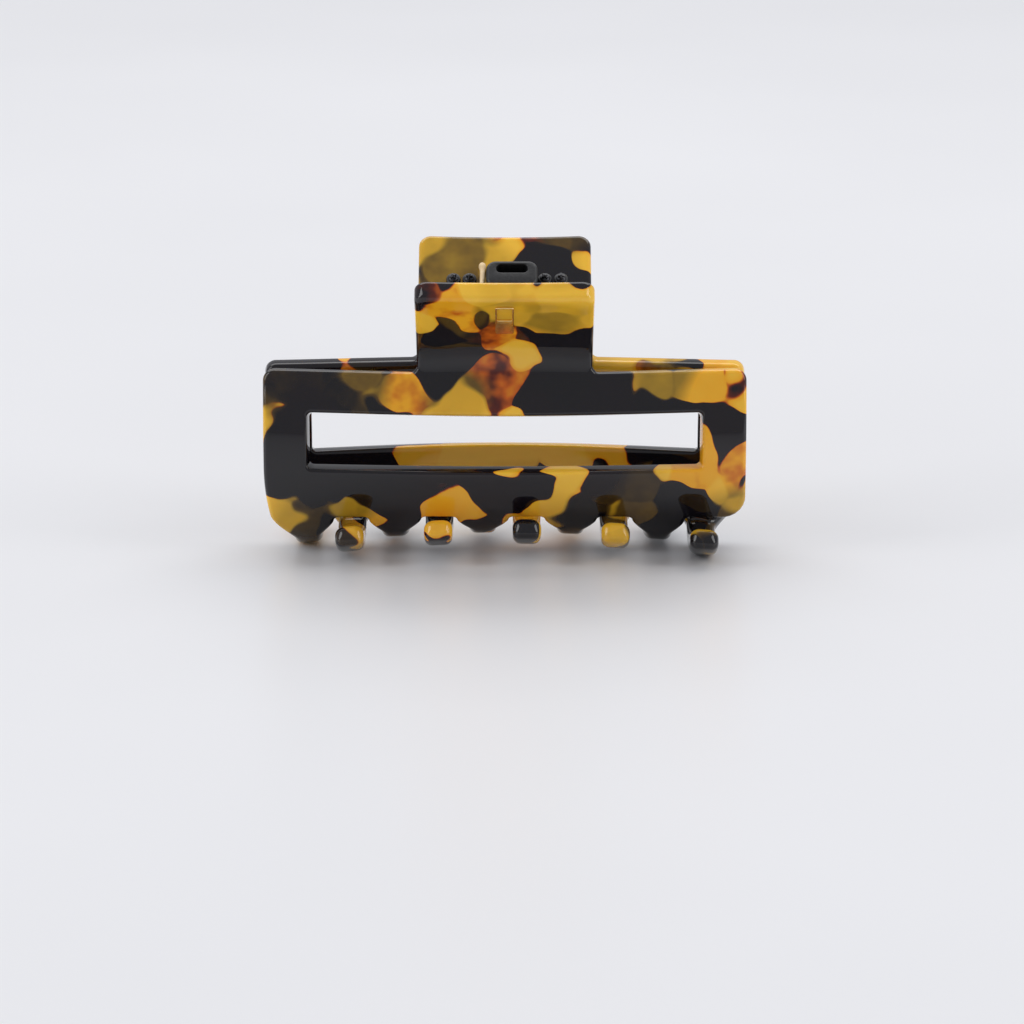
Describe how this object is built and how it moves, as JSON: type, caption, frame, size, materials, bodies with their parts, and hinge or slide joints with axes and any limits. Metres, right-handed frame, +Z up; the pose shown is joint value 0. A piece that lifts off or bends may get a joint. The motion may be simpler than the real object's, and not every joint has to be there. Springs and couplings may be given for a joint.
{
  "type": "hair claw clip",
  "caption": "Sprung hair claw clip: curved rectangular tortoiseshell jaws with open windows and interlocking curled teeth, opened by squeezing its angled handles",
  "frame": {"origin": "middle of the footprint, on the surface that the teeth stand on", "axes": "+X along the jaws and the hinge pin, +Y from the front jaw to the rear jaw, +Z up to the handles"},
  "size_m": [0.08, 0.041, 0.0496],
  "materials": {
    "acetate": "polished tortoiseshell acetate",
    "nylon": "moulded black nylon",
    "steel": "dark plated steel",
    "spring_steel": "cream coated spring wire",
    "gold": "polished gold plate"
  },
  "bodies": {
    "rear": {"rear_jaw": "acetate", "rear_bracket": "nylon", "rear_screws": "steel", "hinge_pin": "steel", "torsion_spring": "spring_steel"},
    "front": {"front_jaw": "acetate", "front_bracket": "nylon", "front_screws": "steel", "spring_front_leg": "spring_steel", "badge": "gold"}
  },
  "joints": [
    {"name": "jaw_hinge", "type": "hinge", "parent": "rear", "child": "front", "pos_m": [0, 0, 0.03664], "axis": [-1, 0, 0], "range_deg": [0, 65], "stiffness_Nm_per_rad": 0.15, "springref_deg": -34.38}
  ]
}
